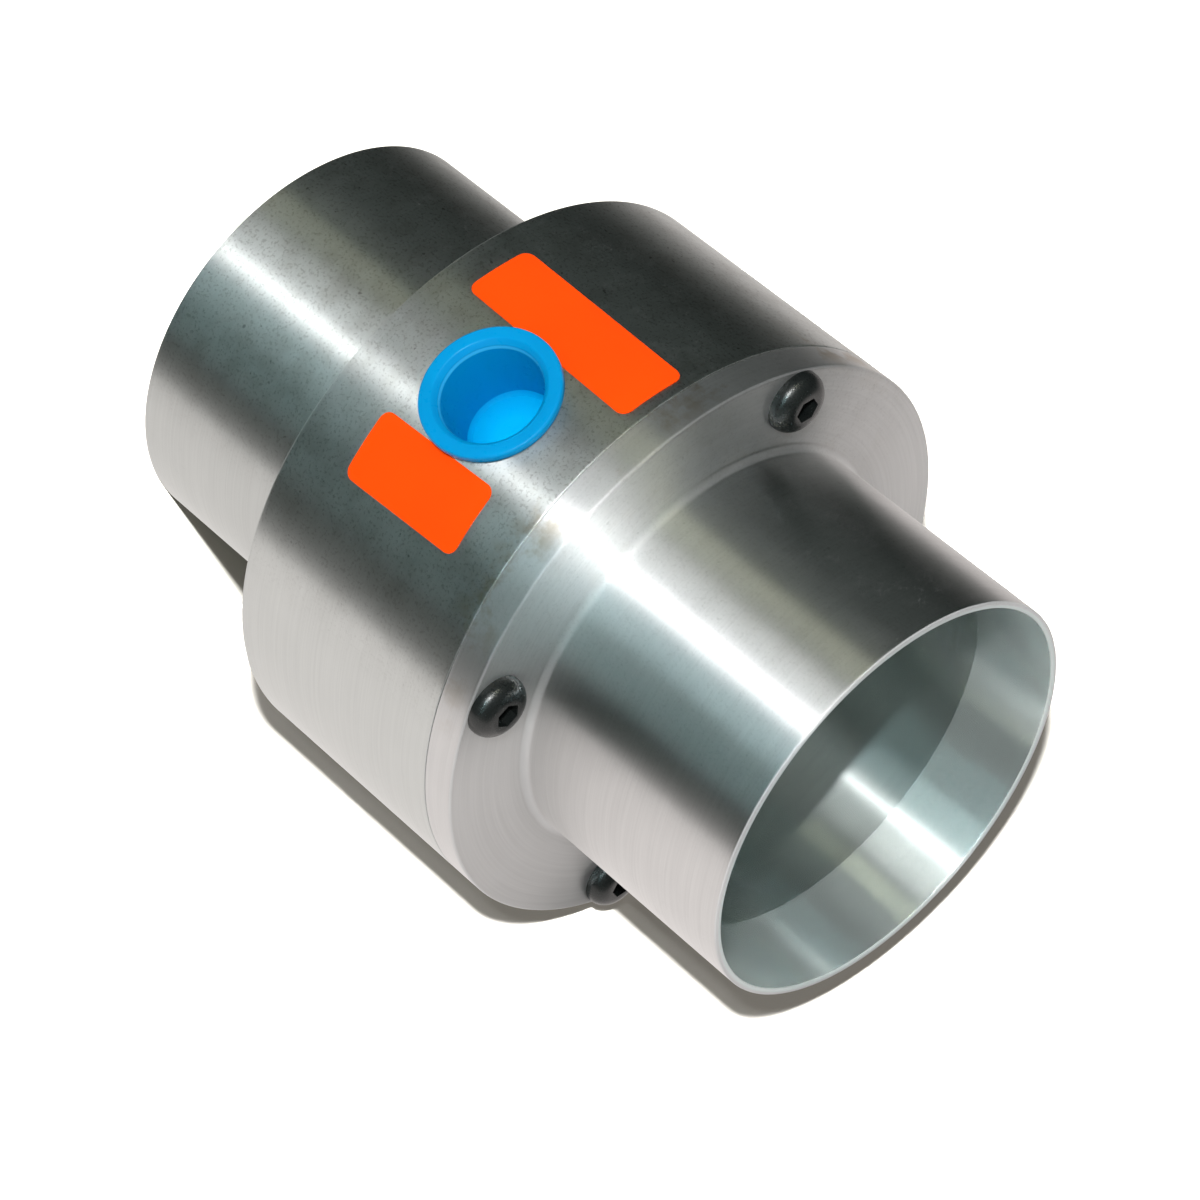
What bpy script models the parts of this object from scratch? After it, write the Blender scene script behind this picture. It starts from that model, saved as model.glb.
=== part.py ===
"""An air operated conveyor for a 3 inch hose, in metres, standing on its rear spigot with +Z along its bore.

Compressed air enters the port on the +X side, fills the ring-shaped chamber in the drum, and leaves
through slanted jets in the nozzle ring. The jets point to the rear, so they pull material in at the
front spigot and push it out at the rear one. The radial sizes stack outwards from the bore, and the
axial ones stack upwards from the rear rim, so a change to one size moves everything that depends on it.
"""

import math

import bmesh
import bpy
from mathutils import Matrix, Vector

# Hose spigots
spigot_diameter = 0.0762
front_spigot_length = 0.0448
rear_spigot_length = 0.0460
spigot_wall = 0.003175
mouth_wall = 0.0012
mouth_taper_length = 0.0149
rim_chamfer = 0.00025
spigot_fillet = 0.0015

# Nozzle ring
ring_wall = 0.0034
throat_step = 0.003175
throat_entry_length = 0.0085
jet_count = 18
jet_diameter = 0.0022
jet_angle = math.radians(25)

# Air chamber and drum
chamber_depth = 0.0041
screw_wall = 0.0023
flange_edge_margin = 0.00015
edge_chamfer = 0.0003
rear_wall = 0.0040
ring_seat_depth = 0.0045
pilot_length = 0.0049
flange_thickness = 0.0060

# Air port
port_diameter = 0.0198
port_land = 0.0066
port_chamfer_depth = 0.0013
port_chamfer_share = 0.5
thread_taper_share = 1 / 32

# Port plug
plug_overhang = 0.0020
plug_flange_thickness = 0.0016
plug_edge_round = 0.0005
plug_wall = 0.00105
plug_floor = 0.0010
plug_tip_clearance = 0.0022
plug_mouth_depth = 0.0017
plug_mouth_flare = 0.0011
plug_shank_taper = 0.0008
plug_floor_rise = 0.0007

# Seals
seal_section = 0.00178

# Button-head screws
screw_diameter = 0.00635
screw_head_diameter = 0.0109
screw_head_height = 0.0033
screw_head_land = 0.0004
screw_socket_width = 0.0040
screw_socket_depth = 0.0021
screw_length = 0.0159
screw_tip_chamfer = 0.0006
screw_tip_clearance = 0.0020
screw_count = 4
screw_first_angle = math.radians(45)
screw_crown_share = 0.46

# Clearances and how finely round shapes are divided
gap = 0.0003
overrun = 0.0030
merge_distance = 0.00001
turned_steps = 64
screw_steps = 20
plug_steps = 32
port_steps = 32
jet_steps = 8
seal_steps = 32
seal_section_steps = 8

# Radii, from the bore outwards
spigot_radius = spigot_diameter / 2
bore_radius = spigot_radius - spigot_wall
mouth_radius = spigot_radius - mouth_wall
throat_radius = bore_radius - throat_step
ring_radius = bore_radius + ring_wall
ring_seat_radius = ring_radius + gap
chamber_radius = ring_radius + chamber_depth
pilot_radius = chamber_radius - gap
screw_radius = screw_diameter / 2
screw_hole_radius = screw_radius + gap
screw_head_radius = screw_head_diameter / 2
screw_circle_radius = chamber_radius + screw_wall + screw_hole_radius
drum_radius = screw_circle_radius + screw_head_radius + flange_edge_margin
port_radius = port_diameter / 2

# Heights, from the rear rim upwards
drum_back = rear_spigot_length
ring_shoulder = drum_back + rear_wall
chamber_back = ring_shoulder + ring_seat_depth
port_height = chamber_back + port_land + port_radius
chamber_front = port_height + port_radius + port_land
drum_front = chamber_front + pilot_length
flange_back = drum_front + gap
flange_front = flange_back + flange_thickness
screw_seat = flange_front + gap
total_length = flange_front + front_spigot_length

# Seal grooves
groove_width = seal_section + 2 * gap
groove_depth = seal_section + gap
ring_bottom = ring_shoulder + gap
ring_top = drum_front - gap
pilot_bottom = chamber_front
rear_groove_height = (ring_bottom + chamber_back) / 2
front_groove_height = (pilot_bottom + ring_top) / 2
pilot_groove_height = (pilot_bottom + flange_back) / 2


def clear_scene():
    for thing in list(bpy.data.objects):
        bpy.data.objects.remove(thing)


def new_collection(name):
    made = bpy.data.collections.new(name)
    bpy.context.scene.collection.children.link(made)
    return made


clear_scene()
parts = new_collection("air_operated_conveyor")
cutters = new_collection("cutters")


def material(name, colour, metallic, roughness):
    made = bpy.data.materials.new(name)
    made.use_nodes = True
    shader = made.node_tree.nodes["Principled BSDF"]
    shader.inputs["Base Color"].default_value = (*colour, 1)
    shader.inputs["Metallic"].default_value = metallic
    shader.inputs["Roughness"].default_value = roughness
    made.diffuse_color = (*colour, 1)
    return made


def arc(centre, radius, start, end, points):
    """Points on a round corner, as (radius from the axis, height) pairs. Angles are in degrees."""
    turns = [start + (end - start) * i / (points - 1) for i in range(points)]
    return [
        (
            centre[0] + radius * math.cos(math.radians(turn)),
            centre[1] + radius * math.sin(math.radians(turn)),
        )
        for turn in turns
    ]


def turned(name, profile, steps, closed):
    """A lathe piece: the profile's (radius, height) points, spun about the object's Z axis."""
    mesh = bpy.data.meshes.new(name)
    shape = bmesh.new()
    points = [shape.verts.new((radius, 0, height)) for radius, height in profile]
    for one, other in zip(points, points[1:]):
        shape.edges.new((one, other))
    if closed:
        shape.edges.new((points[-1], points[0]))
    shape.to_mesh(mesh)
    shape.free()
    piece = bpy.data.objects.new(name, mesh)
    parts.objects.link(piece)
    spin = piece.modifiers.new("Spin", "SCREW")
    spin.axis = "Z"
    spin.steps = steps
    spin.render_steps = steps
    spin.use_merge_vertices = True
    spin.merge_threshold = merge_distance
    return piece


def cutter(name, cones, segments):
    """One cutter made of pegs, each given as (matrix, lower radius, upper radius, length)."""
    mesh = bpy.data.meshes.new(name)
    shape = bmesh.new()
    for matrix, lower, upper, length in cones:
        bmesh.ops.create_cone(
            shape,
            cap_ends=True,
            segments=segments,
            radius1=lower,
            radius2=upper,
            depth=length,
            matrix=matrix,
        )
    shape.to_mesh(mesh)
    shape.free()
    piece = bpy.data.objects.new(name, mesh)
    cutters.objects.link(piece)
    piece.hide_render = True
    piece.display_type = "WIRE"
    return piece


def cut(piece, tool):
    boolean = piece.modifiers.new(f"Cut {tool.name}", "BOOLEAN")
    boolean.operation = "DIFFERENCE"
    boolean.solver = "EXACT"
    boolean.object = tool


def finish(piece, surface):
    """Turns the modifiers into mesh, shades round faces smooth and gives the piece its material."""
    bpy.context.view_layer.update()
    graph = bpy.context.evaluated_depsgraph_get()
    mesh = bpy.data.meshes.new_from_object(piece.evaluated_get(graph))
    mesh.name = piece.name
    piece.modifiers.clear()
    piece.data = mesh
    mesh.materials.clear()
    mesh.materials.append(surface)
    mesh.shade_smooth()
    mesh.set_sharp_from_angle(angle=math.radians(30))
    return piece


def upright(radius, angle, low, high):
    """Where a vertical peg stands: its matrix and its length."""
    place = Vector((radius * math.cos(angle), radius * math.sin(angle), (low + high) / 2))
    return Matrix.Translation(place), high - low


screw_angles = [
    screw_first_angle + math.tau * index / screw_count for index in range(screw_count)
]


def screw_hole_cutter():
    """Clearance holes through the flange, running on into blind holes in the drum's wall."""
    low = screw_seat - screw_length - screw_tip_clearance
    high = flange_front + overrun
    pegs = []
    for angle in screw_angles:
        matrix, length = upright(screw_circle_radius, angle, low, high)
        pegs.append((matrix, screw_hole_radius, screw_hole_radius, length))
    return cutter("screw_holes", pegs, screw_steps)


def port_peg(inner, outer, inner_radius, outer_radius):
    """A peg along the air port, between two distances from the bore's axis."""
    sideways = Matrix.Rotation(math.radians(90), 4, "Y")
    place = Matrix.Translation(((inner + outer) / 2, 0, port_height))
    return place @ sideways, inner_radius, outer_radius, outer - inner


def port_hole_cutter():
    """The tapped hole from the air chamber out. It narrows inwards as a pipe thread does."""
    inner = (ring_radius + chamber_radius) / 2
    outer = drum_radius + overrun
    inner_radius = port_radius - (drum_radius - inner) * thread_taper_share
    outer_radius = port_radius + (outer - drum_radius) * thread_taper_share
    return cutter("port_hole", [port_peg(inner, outer, inner_radius, outer_radius)], port_steps)


def port_mouth_cutter():
    """The port's countersunk mouth, deep enough to reach all round on the drum's curved side."""
    inner = drum_radius - port_chamfer_depth
    outer = drum_radius + overrun
    wide = port_radius + (outer - inner) * port_chamfer_share
    return cutter("port_mouth", [port_peg(inner, outer, port_radius, wide)], port_steps)


def mouth_profile(rim, inwards):
    """A spigot's inner side, from its taper's foot to its rim. inwards is -1 at the top rim."""
    foot = rim + inwards * mouth_taper_length
    return [
        (bore_radius, foot),
        (mouth_radius, rim + inwards * rim_chamfer),
        (mouth_radius + rim_chamfer, rim),
    ]


def drum_body(surface):
    fillet = arc(
        (spigot_radius + spigot_fillet, drum_back - spigot_fillet), spigot_fillet, 90, 180, 4
    )
    outside = [
        (drum_radius - edge_chamfer, drum_front),
        (drum_radius, drum_front - edge_chamfer),
        (drum_radius, drum_back + edge_chamfer),
        (drum_radius - edge_chamfer, drum_back),
        *fillet,
        (spigot_radius, rim_chamfer),
        (spigot_radius - rim_chamfer, 0),
    ]
    inside = [
        *reversed(mouth_profile(0, 1)),
        (bore_radius, ring_shoulder),
        (ring_seat_radius, ring_shoulder),
        (ring_seat_radius, chamber_back),
        (chamber_radius, chamber_back),
        (chamber_radius, drum_front),
    ]
    piece = turned("drum_body", outside + inside, turned_steps, True)
    cut(piece, screw_holes)
    cut(piece, port_hole_cutter())
    cut(piece, port_mouth_cutter())
    return finish(piece, surface)


def groove(radius, height):
    """The four corners of an O-ring groove that is cut into this radius, from its top edge down."""
    floor = radius - groove_depth
    top = height + groove_width / 2
    bottom = height - groove_width / 2
    return [(radius, top), (floor, top), (floor, bottom), (radius, bottom)]


def end_flange(surface):
    fillet = arc(
        (spigot_radius + spigot_fillet, flange_front + spigot_fillet), spigot_fillet, 180, 270, 4
    )
    outside = [
        (spigot_radius - rim_chamfer, total_length),
        (spigot_radius, total_length - rim_chamfer),
        *fillet,
        (drum_radius - edge_chamfer, flange_front),
        (drum_radius, flange_front - edge_chamfer),
        (drum_radius, flange_back + edge_chamfer),
        (drum_radius - edge_chamfer, flange_back),
        (pilot_radius, flange_back),
        *groove(pilot_radius, pilot_groove_height),
        (pilot_radius, pilot_bottom),
    ]
    inside = [
        (ring_seat_radius, pilot_bottom),
        (ring_seat_radius, drum_front),
        (bore_radius, drum_front),
        *mouth_profile(total_length, -1),
    ]
    piece = turned("end_flange", outside + inside, turned_steps, True)
    cut(piece, screw_holes)
    return finish(piece, surface)


def jet_line():
    """One jet's two ends, as (radius, height): at the chamber, and in the middle of the throat's step."""
    outlet_radius = bore_radius - throat_step / 2
    drop = (ring_radius - outlet_radius) / math.tan(jet_angle)
    return (ring_radius, port_height), (outlet_radius, port_height - drop)


def jet_cutter():
    """The ring of slanted jets, each longer than the wall by the overrun at both ends."""
    inlet, outlet = jet_line()
    middle_radius = (inlet[0] + outlet[0]) / 2
    middle_height = (inlet[1] + outlet[1]) / 2
    length = math.hypot(inlet[0] - outlet[0], inlet[1] - outlet[1]) + 2 * overrun
    slant = Matrix.Rotation(jet_angle, 4, "Y")
    radius = jet_diameter / 2
    pegs = []
    for index in range(jet_count):
        around = Matrix.Rotation(math.tau * (index + 0.5) / jet_count, 4, "Z")
        out = Matrix.Translation((middle_radius, 0, middle_height))
        pegs.append((around @ out @ slant, radius, radius, length))
    return cutter("jets", pegs, jet_steps)


def nozzle_ring(surface):
    """The sleeve round the throat: a rounded entry on top, and a step below it, where the jets come out."""
    outlet_height = jet_line()[1][1]
    step_top = outlet_height + throat_step / 2
    step_bottom = outlet_height - throat_step / 2
    entry = []
    for index in range(5):
        turn = math.radians(90 * index / 4)
        entry.append(
            (
                bore_radius - throat_step * math.sin(turn),
                ring_top - throat_entry_length * (1 - math.cos(turn)),
            )
        )
    outside = [
        (ring_radius, ring_top),
        *groove(ring_radius, front_groove_height),
        *groove(ring_radius, rear_groove_height),
        (ring_radius, ring_bottom),
    ]
    inside = [
        (bore_radius, ring_bottom),
        (bore_radius, step_bottom),
        (throat_radius, step_top),
        *reversed(entry),
    ]
    piece = turned("nozzle_ring", outside + inside, turned_steps, True)
    cut(piece, jet_cutter())
    return finish(piece, surface)


def seal(name, groove_radius, height, surface):
    """An O-ring that lies in a groove of a piece of this radius, clear of the groove's floor and walls."""
    bpy.ops.mesh.primitive_torus_add(
        major_segments=seal_steps,
        minor_segments=seal_section_steps,
        major_radius=groove_radius - groove_depth + gap + seal_section / 2,
        minor_radius=seal_section / 2,
        location=(0, 0, height),
    )
    piece = bpy.context.object
    piece.name = name
    for holder in list(piece.users_collection):
        holder.objects.unlink(piece)
    parts.objects.link(piece)
    return finish(piece, surface)


def screw_profile():
    """A button head on a plain shank, from the crown's middle down. Height 0 is the head's underside."""
    crown_radius = screw_head_radius * screw_crown_share
    dome = []
    for index in range(5):
        turn = math.radians(90 * index / 4)
        dome.append(
            (
                crown_radius + (screw_head_radius - crown_radius) * math.sin(turn),
                screw_head_land + (screw_head_height - screw_head_land) * math.cos(turn),
            )
        )
    tip = -screw_length
    return [
        (0, screw_head_height),
        *dome,
        (screw_head_radius, 0),
        (screw_radius, 0),
        (screw_radius, tip + screw_tip_chamfer),
        (screw_radius - screw_tip_chamfer, tip),
        (0, tip),
    ]


def button_screw(name, angle, surface):
    piece = turned(name, screw_profile(), screw_steps, False)
    socket_radius = screw_socket_width / 2 / math.cos(math.radians(30))
    low = screw_head_height - screw_socket_depth
    matrix, length = upright(0, 0, low, screw_head_height + overrun)
    socket = cutter(f"{name}_socket", [(matrix, socket_radius, socket_radius, length)], 6)
    cut(piece, socket)
    place = (
        screw_circle_radius * math.cos(angle),
        screw_circle_radius * math.sin(angle),
        screw_seat,
    )
    for thing in (piece, socket):
        thing.location = place
        thing.rotation_euler = (0, 0, angle)
    return finish(piece, surface)


def plug_profile():
    """The plug from its cup's floor, up over its flange and down its shank, to the middle of its tip.

    Heights are measured along the port, from the bore's axis.
    """
    seat = drum_radius + gap
    top = seat + plug_flange_thickness
    tip = ring_radius + plug_tip_clearance
    rim = port_radius + plug_overhang
    shank = port_radius - gap
    shank_foot = shank - plug_shank_taper
    cup = shank - plug_wall
    cup_foot = shank_foot - plug_wall
    floor = tip + plug_floor
    lip = top - plug_mouth_depth
    edge = arc((rim - plug_edge_round, top - plug_edge_round), plug_edge_round, 90, 0, 3)
    inside = [
        (0, floor + plug_floor_rise),
        (cup_foot - plug_floor_rise, floor),
        (cup_foot, floor + plug_floor_rise),
        (cup, lip),
        (cup + plug_mouth_flare / 4, lip + plug_mouth_depth / 2),
        (cup + plug_mouth_flare, top),
    ]
    outside = [*edge, (rim, seat), (shank, seat), (shank_foot, tip), (0, tip)]
    return inside + outside


def port_plug(surface):
    piece = turned("port_plug", plug_profile(), plug_steps, False)
    piece.location = (0, 0, port_height)
    piece.rotation_euler = (0, math.radians(90), 0)
    return finish(piece, surface)


aluminium = material("machined_aluminium", (0.72, 0.73, 0.73), 1.0, 0.32)
flange_aluminium = material("turned_aluminium", (0.76, 0.77, 0.77), 1.0, 0.28)
ring_aluminium = material("bored_aluminium", (0.68, 0.69, 0.70), 1.0, 0.35)
rubber = material("seal_rubber", (0.03, 0.03, 0.03), 0.0, 0.7)
black_steel = material("black_oxide_steel", (0.035, 0.038, 0.042), 0.8, 0.35)
blue_plastic = material("blue_plastic", (0.0, 0.32, 0.78), 0.0, 0.35)

screw_holes = screw_hole_cutter()
drum_body(aluminium)
end_flange(flange_aluminium)
nozzle_ring(ring_aluminium)
seal("ring_seal_rear", ring_radius, rear_groove_height, rubber)
seal("ring_seal_front", ring_radius, front_groove_height, rubber)
seal("flange_seal", pilot_radius, pilot_groove_height, rubber)
for number, angle in enumerate(screw_angles, 1):
    button_screw(f"button_screw_{number}", angle, black_steel)
port_plug(blue_plastic)
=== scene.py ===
# %% [markdown]
# # Air operated conveyor
#
# The real object is a bench-top machine part: a thick aluminium drum with a hose spigot at each
# end, a bolted flange, and a side port for compressed air that a blue plastic plug keeps clean.
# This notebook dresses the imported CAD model. Each metal piece is drawn again with finer steps,
# because a turned surface shows every facet in its reflections, and gets a material that has the
# lathe's marks in it. The first cell loads the CAD model as a frame that nothing here may move.

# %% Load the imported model
import math

import bmesh
import bpy
from mathutils import Matrix, Vector


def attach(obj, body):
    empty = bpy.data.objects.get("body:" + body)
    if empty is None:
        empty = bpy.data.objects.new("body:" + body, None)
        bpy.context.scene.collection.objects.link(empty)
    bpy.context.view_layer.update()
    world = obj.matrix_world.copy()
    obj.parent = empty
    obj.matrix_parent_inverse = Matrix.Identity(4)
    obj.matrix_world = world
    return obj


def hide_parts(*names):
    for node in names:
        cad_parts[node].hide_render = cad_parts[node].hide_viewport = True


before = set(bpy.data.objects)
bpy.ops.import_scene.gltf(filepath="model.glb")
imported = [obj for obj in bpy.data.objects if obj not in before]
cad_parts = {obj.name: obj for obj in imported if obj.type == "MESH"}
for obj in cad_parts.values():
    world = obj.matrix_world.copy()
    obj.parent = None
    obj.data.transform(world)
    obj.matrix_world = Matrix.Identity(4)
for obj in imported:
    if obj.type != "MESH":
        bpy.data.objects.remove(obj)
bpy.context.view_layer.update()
mm = 0.001

# %% [markdown]
# ## The camera
#
# A product photograph of this kind is taken from about arm's length with a long lens, so that
# parallel edges stay nearly parallel. The camera's place and turn were worked out from the
# ellipses of the round faces. A camera looks along its own -Z, so its three axes are enough.

# %% Place the camera
camera_place = Vector((0.5880, 0.1098, 0.4219))
camera_right = Vector((-0.26675, -0.69226, 0.67054))
camera_up = Vector((0.44691, -0.70527, -0.55033))
camera_back = camera_right.cross(camera_up).normalized()
camera_lens = 123.95
camera_film = 36

camera_data = bpy.data.cameras.new("studio_camera")
camera_data.lens = camera_lens
camera_data.sensor_width = camera_film
camera = bpy.data.objects.new("studio_camera", camera_data)
bpy.context.scene.collection.objects.link(camera)
turn = Matrix((camera_right, camera_up, camera_back)).transposed()
camera.matrix_world = Matrix.Translation(camera_place) @ turn.to_4x4()
bpy.context.scene.camera = camera
print("camera distance from the rear rim:", round(camera_place.length, 3))

# %% [markdown]
# ## Small helpers for node trees
#
# Materials, the floor and the world are all node trees. Writing them by hand in code is long, so
# one helper adds a node and feeds it: a value that is a socket gets a link, and any other value
# is typed into the socket. The others are short names for the nodes that come up most.


# %% Helpers for nodes
def node(tree, kind, feeds=(), **settings):
    """Adds one shader node, sets its options and feeds its inputs."""
    made = tree.nodes.new("ShaderNode" + kind)
    for key, value in settings.items():
        setattr(made, key, value)
    for key, value in dict(feeds).items():
        if isinstance(value, bpy.types.NodeSocket):
            tree.links.new(value, made.inputs[key])
        else:
            made.inputs[key].default_value = value
    return made


def maths(tree, operation, first, second=0.0, third=0.0, clamp=False):
    made = node(tree, "Math", {0: first, 1: second, 2: third}, operation=operation, use_clamp=clamp)
    return made.outputs[0]


def multiply(tree, first, *others):
    """The product of any number of values."""
    for other in others:
        first = maths(tree, "MULTIPLY", first, other)
    return first


def add_where(tree, mask, amount, value, clamp=False):
    """The value, with this amount more where the mask is 1."""
    return maths(tree, "MULTIPLY_ADD", mask, amount, value, clamp)


def distance_from(tree, value, centre):
    return maths(tree, "ABSOLUTE", maths(tree, "SUBTRACT", value, centre))


def vectors(tree, operation, first, second=(0, 0, 0), third=(0, 0, 0)):
    made = node(tree, "VectorMath", {0: first, 1: second, 2: third}, operation=operation)
    return made.outputs["Value" if operation in ("LENGTH", "DOT_PRODUCT") else "Vector"]


def spread(tree, value, low, high, start=0.0, end=1.0, smooth=False):
    """Maps a value from low..high to start..end, held at both ends."""
    kind = "SMOOTHSTEP" if smooth else "LINEAR"
    feeds = {"Value": value, "From Min": low, "From Max": high, "To Min": start, "To Max": end}
    return node(tree, "MapRange", feeds, interpolation_type=kind).outputs["Result"]


def mix_colours(tree, share, one, other, blend="MIX"):
    """Mixes two colours. The Mix node keeps its colour inputs at 6 and 7, and its output at 2."""
    made = node(tree, "Mix", {0: share, 6: one, 7: other}, data_type="RGBA", blend_type=blend)
    return made.outputs[2]


def noise(tree, vector, scale, detail=2.0, roughness=0.5):
    feeds = {"Vector": vector, "Scale": scale, "Detail": detail, "Roughness": roughness}
    return node(tree, "TexNoise", feeds).outputs["Fac"]


print("node helpers ready")

# %% [markdown]
# ## The studio
#
# Polished metal has no colour of its own to speak of: what one sees is the room. In the
# photograph the part lies on a white table that fills one half of its reflections, the other
# half is a dim room, and one soft lamp stands near the camera. The world below gives rays that
# bounce off metal that table and that room, gives the camera plain white, and lights
# everything else with an even pale light.

# %% World: where the table is seen
table_turn = math.radians(-21.0)
table_edge = (-0.13, -0.185)
table_slant = 1.5
table_end = 0.15
away_from_table = (math.cos(table_turn), math.sin(table_turn), 0)

world = bpy.data.worlds.new("studio")
bpy.context.scene.world = world
world.use_nodes = True
sky = world.node_tree
sky.nodes.clear()
ray = node(sky, "TexCoord").outputs["Generated"]
rise = node(sky, "SeparateXYZ", {"Vector": ray}).outputs["Z"]
depth = vectors(sky, "DOT_PRODUCT", ray, away_from_table)
past_edge = spread(sky, depth, *table_edge, smooth=True)
slope = maths(sky, "MULTIPLY_ADD", depth, table_slant, rise)
before_end = spread(sky, slope, table_end, -table_end, smooth=True)
on_table = multiply(sky, past_edge, before_end)
print("table turned by", round(math.degrees(table_turn)), "degrees")

# %% [markdown]
# The room is a little lighter around the camera, and lighter again overhead, where only flat
# faces look. Beside the far edge of the table it is nearly black, and the table itself gets
# darker away from the lamp.

# %% World: shades of the room and of the table
table_colour = (1.0, 0.935, 0.905)
room_colour = (0.056, 0.064, 0.060)
haze_colour = (0.10, 0.112, 0.112)
overhead_colour = (0.055, 0.062, 0.056)
bearing = vectors(sky, "NORMALIZE", vectors(sky, "MULTIPLY", ray, (1, 1, 0)))


def patch_at(angle, tightness):
    """A soft upright patch of the room, centred on this angle round the bore, in degrees."""
    toward = (math.cos(math.radians(angle)), math.sin(math.radians(angle)), 0)
    facing = maths(sky, "MAXIMUM", vectors(sky, "DOT_PRODUCT", bearing, toward), 0.0)
    return maths(sky, "POWER", facing, tightness)


def scaled(colour, share):
    return node(sky, "VectorMath", {0: colour, "Scale": share}, operation="SCALE").outputs["Vector"]


def darker_at(colour, angle, tightness, left):
    """The colour, with only this share of it left in the middle of a patch."""
    return scaled(colour, spread(sky, patch_at(angle, tightness), 0, 1, 1, left))


above_table = spread(sky, rise, -0.45, 0.35, smooth=True)
overhead = spread(sky, rise, 0.15, 0.75, smooth=True)
haze = scaled(haze_colour, multiply(sky, patch_at(4, tightness=2), above_table))
room = vectors(sky, "ADD", room_colour, haze)
room = vectors(sky, "ADD", room, scaled(overhead_colour, overhead))
room = darker_at(room, angle=-98, tightness=50, left=0.35)
table = darker_at(table_colour, angle=-118, tightness=8, left=0.60)
seen_in_metal = mix_colours(sky, on_table, room, table)
print("room and table shaded")

# %% World: what each kind of ray sees
even_light = (0.42, 0.42, 0.42, 1)
white = (1, 1, 1, 1)
ray_kinds = node(sky, "LightPath").outputs
lighting = mix_colours(sky, ray_kinds["Is Glossy Ray"], even_light, seen_in_metal)
backdrop = mix_colours(sky, ray_kinds["Is Camera Ray"], lighting, white)
background = node(sky, "Background", {"Color": backdrop, "Strength": 1.0})
node(sky, "OutputWorld", {"Surface": background.outputs[0]})
world.cycles.sampling_method = "NONE"
bpy.context.scene.view_settings.view_transform = "Standard"
print("world nodes:", len(sky.nodes))

# %% [markdown]
# The main lamp is a small soft box. Its height decides where the near wall's shadow falls inside
# the mouth, so it is placed by two angles, as the photograph shows that shadow. A nearer lamp,
# which the metal does not mirror, gives the plastic and the stickers their light. Two more light
# only the studio: a lamp for the white board and a sun for the floor, so that the paper can be
# white without more light on the object.


# %% Lamps beside the camera
aim_point = Vector((0, 0, 0.085))


def aim(name, data, turn, rise, distance):
    """Places a lamp by its two angles in degrees, as the part sees it, and turns it to the part."""
    turn, rise = math.radians(turn), math.radians(rise)
    level = math.cos(rise)
    way = Vector((math.cos(turn) * level, math.sin(turn) * level, math.sin(rise)))
    made = bpy.data.objects.new(name, data)
    bpy.context.scene.collection.objects.link(made)
    made.location = aim_point + way * distance
    made.rotation_euler = way.to_track_quat("Z", "Y").to_euler()
    print(name, "at", [round(value, 2) for value in made.location])
    return made


def soft_lamp(name, turn, rise, distance, width, height, power):
    """A rectangular lamp that looks at the part."""
    data = bpy.data.lights.new(name, "AREA")
    data.shape = "RECTANGLE"
    data.size = width
    data.size_y = height
    data.energy = power
    return aim(name, data, turn, rise, distance)


lamp_rise = 21.6
lamp_distance = 1.6
near_turn = 4.0
near_rise = 24.0
near_distance = 0.8
soft_lamp("soft_box", 6.4, lamp_rise, lamp_distance, width=0.05, height=0.024, power=8.6)
key_light = soft_lamp("key_light", near_turn, near_rise, near_distance, width=0.05, height=0.05, power=3.4)
key_light.visible_glossy = False

# %% Lamps for the board and the floor
board_lamp = soft_lamp("board_lamp", near_turn, near_rise, near_distance, width=0.03, height=0.03, power=95)
floor_sun = bpy.data.lights.new("floor_sun", "SUN")
floor_sun.angle = math.radians(2.4)
floor_sun.energy = 150
floor_lamp = aim("floor_lamp", floor_sun, turn=-1.0, rise=23.0, distance=1.2)

# %% [markdown]
# A row of dim strips at the lamp's height makes the wide halo on both sides of the streak: cool
# on one side, and with an olive band on the other. Only mirror-like rays see them. Each line
# gives a strip's first and last angle in degrees, its brightness and its colour.

# %% Strips of dim light beside the lamp
strip_height = 0.02
strips = (
    ("halo_middle", -9, 12, 192, (1.0, 1.0, 0.99)),
    ("halo_cool_near", 12, 30, 128, (0.72, 0.96, 1.0)),
    ("halo_cool_far", 30, 54, 38, (0.62, 0.97, 1.0)),
    ("halo_plain", -18, -9, 144, (1.0, 0.99, 0.96)),
    ("halo_olive", -33, -23, 104, (1.0, 0.99, 0.74)),
    ("halo_dim", -50, -38, 10, (0.98, 1.0, 0.95)),
)
for name, low, high, brightness, colour in strips:
    width = lamp_distance * math.radians(high - low)
    power = brightness * math.pi * width * strip_height
    strip = soft_lamp(name, (low + high) / 2, lamp_rise, lamp_distance, width, strip_height, power)
    strip.data.color = colour
    strip.visible_diffuse = False

# %% [markdown]
# The floor is a plain pale plane under the rear rim. In the photograph the part lies on its
# side, so its shadow falls close beside it on a white table. Here it stands, and a white board
# behind it takes that table's place: it touches the drum and catches the same narrow shadow. The
# camera sees floor and board as white paper. Rays from the metal pass both, because the table
# they should find is in the world, and from behind the board can't be seen at all.


# %% Paper for the floor and the board
seen_by_other_rays = (0.6, 0.6, 0.6, 1)


def new_material(name):
    made = bpy.data.materials.new(name)
    made.use_nodes = True
    made.node_tree.nodes.clear()
    return made


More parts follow.
